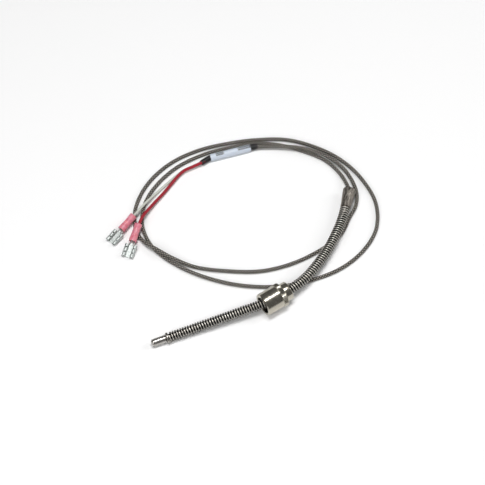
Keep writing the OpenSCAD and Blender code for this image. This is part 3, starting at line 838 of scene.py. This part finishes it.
sleeve_turn = SLEEVE_AT + ahead(SLEEVE_HEADING, SLEEVE_LEN)
tail_end = sleeve_turn + ahead(SLEEVE_HEADING + SLEEVE_BEND, SLEEVE_TAIL)
straight = [SLEEVE_AT + ahead(SLEEVE_HEADING, distance) for distance in (1, 4, 16, 28, 31.5)]
tail_start = sleeve_turn + ahead(SLEEVE_HEADING + SLEEVE_BEND, 1.5)
sleeve_line = smooth_line([SLEEVE_AT] + straight + [tail_start, tail_end], 0.5)
sleeve_length = distances(sleeve_line)[-1]
sleeve_shape = []
for s in distances(sleeve_line):
    at_tail = s > SLEEVE_LEN
    drawn_in = TAIL_DRAWN_IN if at_tail else SLEEVE_DRAWN_IN
    share = 1 - drawn_in * (1 - min(1, min(s, sleeve_length - s) / DRAWN_IN_LEN) ** 0.5)
    sleeve_shape.append(share * (TAIL_R / SLEEVE_R if at_tail else 1))
sleeve_mesh = tube_mesh("sleeve", sleeve_line, SLEEVE_R, 32, sleeve_shape)
sleeve = new_piece("sleeve", sleeve_mesh, shrink_tube(), 80)
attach(sleeve, "probe")
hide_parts("transition_sleeve")

label_sides = 48
label_line = [SLEEVE_AT + ahead(SLEEVE_HEADING, LABEL_FROM + LABEL_LEN * i / LABEL_RINGS)
              for i in range(LABEL_RINGS + 1)]
label_shape = [1 - 0.05 * (i in (0, LABEL_RINGS)) + 0.006 * sin(1.3 * i)
               for i in range(LABEL_RINGS + 1)]
label_mesh = tube_mesh("label", label_line, LABEL_D / 2, label_sides, label_shape)
lay_on(label_mesh, label_line, LABEL_D / 2, label_sides)
label = new_piece("label", label_mesh, printed_film(), 60)
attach(label, "probe")
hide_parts("transition_label")


# ---------------------------------------------------------------- push-on terminals
# Each lead ends in a receptacle stamped from tinned brass: a flat base whose edges roll over the
# tab, a neck, and a crimp tube inside a pink vinyl barrel.
STOCK = 0.4
ROLL_R = 1.3
ROLL_Y = 2.65
BARREL_D = 5
BARREL_LEN = 12
COVER_WALL = 0.5
NECK_GAP = 2.2
RECEPTACLE_LEN = 8.4
TERMINAL_LEN = BARREL_LEN + NECK_GAP + RECEPTACLE_LEN
CRIMP_R = 1.5
CRIMP_FROM = 2.5
SOCKET_DROP = 0.7
CRIMP_LEN = 8
NECK_FROM = CRIMP_FROM + CRIMP_LEN - 1
NECK_TO = BARREL_LEN + NECK_GAP + 0.4
BITE_LEN = 0.8
BITES_AT = (2, 5.1)
PULLS = 24


def terminal_place(mount_name):
    """The terminal's own frame from its mount: x = 0 at the barrel's rear, +X out of the socket."""
    mount = next(m for m in frame["record"]["mounts"] if m["name"] == mount_name)
    out = Vector(mount["axis"])
    return (Matrix.Translation(Vector(mount["pos_m"]) / MM)
            @ Matrix.Rotation(atan2(out.y, out.x), 4, "Z") @ Matrix.Rotation(asin(-out.z), 4, "Y")
            @ Matrix.Translation((-TERMINAL_LEN, 0, SOCKET_DROP)))


def pulled(bm, edges, steps):
    """Draws open edges along X in steps and returns every face made."""
    faces = []
    for step in steps:
        grown = bmesh.ops.extrude_edge_only(bm, edges=edges)["geom"]
        verts = [g for g in grown if isinstance(g, bmesh.types.BMVert)]
        bmesh.ops.translate(bm, vec=(step, 0, 0), verts=verts)
        edges = [g for g in grown if isinstance(g, bmesh.types.BMEdge)
                 and abs(g.verts[0].co.x - g.verts[1].co.x) < 1e-5
                 and all(v in set(verts) for v in g.verts)]
        faces += [g for g in grown if isinstance(g, bmesh.types.BMFace)]
    return faces


def receptacle_sheet():
    """The rolled receptacle's middle surface, open at both ends, with two bite slots in each roll."""
    bm = bmesh.new()
    base = -ROLL_R
    middle = ROLL_R - STOCK / 2
    start = BARREL_LEN + NECK_GAP
    for side in (-1, 1):
        edge_vert = bm.verts.new((start, side * ROLL_Y, base))
        bmesh.ops.spin(bm, geom=[edge_vert], cent=(start, side * ROLL_Y, base + middle),
                       axis=(1, 0, 0), angle=side * radians(275), steps=16)
    strip = [bm.verts.new((start, ROLL_Y * (i / 4 - 1), base)) for i in range(9)]
    for a, b in zip(strip, strip[1:]):
        bm.edges.new((a, b))
    bmesh.ops.remove_doubles(bm, verts=bm.verts[:], dist=0.001)
    pulled(bm, bm.edges[:], [RECEPTACLE_LEN / PULLS] * PULLS)
    bites = []
    for face in bm.faces:
        at = face.calc_center_median()
        inner = abs(at.y) < ROLL_Y + 0.55
        high = at.z > base + middle + 0.35
        in_bite = any(start + bite < at.x < start + bite + BITE_LEN for bite in BITES_AT)
        if inner and high and in_bite:
            bites.append(face)
    bmesh.ops.delete(bm, geom=bites, context="FACES")
    return bm


def solid_sheet(bm, name, place, material, node):
    """Gives a surface the stock's thickness and softens its cut edges."""
    bmesh.ops.recalc_face_normals(bm, faces=bm.faces[:])
    piece = placed(bm, name, place, material, "probe", node, 50)
    wall = piece.modifiers.new("stock", "SOLIDIFY")
    wall.thickness = STOCK * MM
    wall.offset = 0
    soft = piece.modifiers.new("edges", "BEVEL")
    soft.width = 0.07 * MM
    soft.segments = 2
    soft.limit_method = "ANGLE"
    soft.angle_limit = radians(50)
    return piece


def tinned_brass_finish():
    """Bright tin over stamped brass: pale, slightly cloudy, with stamping scuffs."""
    material, tree, shader = new_material("bright_tinned_brass", "#c3c7c5", 0.5, 0.75)
    place = in_mm(tree)
    clouds = add(tree, "TexNoise", {"Scale": 0.9, "Detail": 5, "Roughness": 0.6}, {"Vector": place})
    tint = colour_steps(tree, clouds.outputs["Fac"], [(0.3, "#9fa5a3"), (0.6, "#d3d8d5")])
    tree.links.new(tint.outputs["Color"], shader.inputs["Base Color"])
    gloss = add(tree, "MapRange", {"To Min": 0.38, "To Max": 0.6}, {"Value": clouds.outputs["Fac"]})
    tree.links.new(gloss.outputs[0], shader.inputs["Roughness"])
    scuffs = add(tree, "TexNoise", {"Scale": 7, "Detail": 4}, {"Vector": place})
    bump = add(tree, "Bump", {"Strength": 0.12, "Distance": 0.00005}, {"Height": scuffs.outputs["Fac"]})
    tree.links.new(bump.outputs[0], shader.inputs["Normal"])
    return material


def pink_vinyl_finish():
    """Soft pink vinyl, slightly see-through, with a moulded gloss."""
    material, tree, shader = new_material("pink_vinyl", "#e07f8f", 0.42, Subsurface_Weight=0.25,
                                          Subsurface_Scale=0.0015, Coat_Weight=0.15)
    clouds = add(tree, "TexNoise", {"Scale": 0.5, "Detail": 3}, {"Vector": in_mm(tree)})
    tint = colour_steps(tree, clouds.outputs["Fac"], [(0.3, "#d06a7e"), (0.7, "#e898a4")])
    tree.links.new(tint.outputs["Color"], shader.inputs["Base Color"])
    grain = add(tree, "TexNoise", {"Scale": 4, "Detail": 3}, {"Vector": in_mm(tree)})
    bump = add(tree, "Bump", {"Strength": 0.12, "Distance": 0.0001}, {"Height": grain.outputs["Fac"]})
    tree.links.new(bump.outputs[0], shader.inputs["Normal"])
    return material


def barrel_profile():
    """The vinyl barrel: flared a little at the wire's end, pressed in where the crimp is."""
    outer = [(0, 2.5), (1.2, 2.5), (2.6, 2.42), (4.2, 2.3), (7.5, 2.28), (9.2, 2.42), (11, 2.5),
             (BARREL_LEN, 2.46)]
    inner = BARREL_D / 2 - COVER_WALL
    pressed = inner - 0.1
    return [(r, x) for x, r in outer] + [(inner, BARREL_LEN), (pressed, 8), (pressed, 4), (inner, 0)]


tinned = tinned_brass_finish()
pink = pink_vinyl_finish()
for colour in ("red", "white"):
    place = terminal_place(colour + "_tab_socket")
    socket = solid_sheet(receptacle_sheet(), colour + "_receptacle", place, tinned,
                         colour + "_terminal")

    neck_bm = bmesh.new()
    neck_verts = [neck_bm.verts.new((NECK_FROM, y, z)) for y, z in
                  ((-1.3, -0.7), (-1.2, -1.1), (-0.9, -1.3), (0.9, -1.3), (1.2, -1.1), (1.3, -0.7))]
    for a, b in zip(neck_verts, neck_verts[1:]):
        neck_bm.edges.new((a, b))
    pulled(neck_bm, neck_bm.edges[:], [1] * 4 + [NECK_TO - NECK_FROM - 4])
    neck = solid_sheet(neck_bm, colour + "_neck", place, tinned, None)

    crimp_bm = turned([(CRIMP_R - STOCK, 0), (CRIMP_R, 0), (CRIMP_R, CRIMP_LEN),
                       (CRIMP_R - STOCK, CRIMP_LEN)], 0.06)
    upright = Matrix.Translation((CRIMP_FROM, 0, 0)) @ Matrix.Rotation(pi / 2, 4, "Y")
    crimp = placed(crimp_bm, colour + "_crimp", place @ upright, tinned, "probe", None)

    barrel = placed(turned(barrel_profile(), 0.08), colour + "_barrel",
                    place @ Matrix.Rotation(pi / 2, 4, "Y"), pink, "probe", colour + "_barrel_cover")


# ---------------------------------------------------------------- hidden pieces
# The measuring junction, its ceramic and cement, the two conductors, the inner cable, the packing
# and the splices keep their plain shapes and take the finish of what they are.
tinned_copper = cloudy("tinned_copper", "#8f9296", "#bfc2c6", 0.35, 1.0)
support_copper = cloudy("annealed_copper", "#9c6238", "#c98a58", 0.4, 1.0)
hidden_finishes = {
    "ceramic_insulator": cloudy("mullite_ceramic", "#ddd8cb", "#f2efe6", 0.6),
    "junction_bead": cloudy("fused_bead", "#5d5d61", "#8f8f94", 0.45, 1.0),
    "cement_plug": cloudy("potting_cement", "#bdb6a6", "#d8d2c4", 0.9),
    "cable_bush": cloudy("moulded_packing", "#232120", "#3f3c39", 0.7),
    "inner_cable": cloudy("inner_glass_braid", "#3f3c39", "#77726a", 0.7, grain=3),
    "red_splice": tinned_copper,
    "white_splice": tinned_copper,
    "red_support_sleeve": support_copper,
    "white_support_sleeve": support_copper,
}
for node_name, finish in hidden_finishes.items():
    mesh = frame["nodes"][node_name].data
    mesh.materials.clear()
    mesh.materials.append(finish)


# ---------------------------------------------------------------- floor and studio light
# A plain white table and wide soft boxes, with darker gaps between them for the metal to show.
floor_bm = bmesh.new()
bmesh.ops.create_grid(floor_bm, x_segments=1, y_segments=1, size=4)
floor_mesh = bpy.data.meshes.new("table")
floor_bm.to_mesh(floor_mesh)
floor_bm.free()
white_table = new_material("white_laminate", "#ffffff", 0.6)[0]
table = new_piece("table", floor_mesh, white_table)

world = bpy.data.worlds.new("studio")
world.use_nodes = True
world.node_tree.nodes["Background"].inputs["Color"].default_value = linear("#ffffff")
world.node_tree.nodes["Background"].inputs["Strength"].default_value = 0.13
bpy.context.scene.world = world
bpy.context.scene.view_settings.view_transform = "Standard"


def soft_box(name, azimuth_deg, elevation_deg, distance, size, watts):
    """A rectangular lamp that faces the probe from a direction and a distance in metres."""
    light = bpy.data.lights.new(name, "AREA")
    light.shape = "RECTANGLE"
    light.size = size[0]
    light.size_y = size[1]
    light.energy = watts
    lamp = bpy.data.objects.new(name, light)
    az = radians(azimuth_deg)
    el = radians(elevation_deg)
    away = Vector((sin(az) * cos(el), cos(az) * cos(el), sin(el)))
    lamp.location = aim + away * distance
    lamp.rotation_euler = (-away).to_track_quat("-Z", "Y").to_euler()
    bpy.context.scene.collection.objects.link(lamp)


soft_box("overhead", 0, 88, 1.2, (0.6, 0.3), 8.7)
soft_box("left", 250, 40, 1.2, (0.4, 0.7), 4.4)
soft_box("right", 110, 35, 1.2, (0.25, 0.7), 3.3)
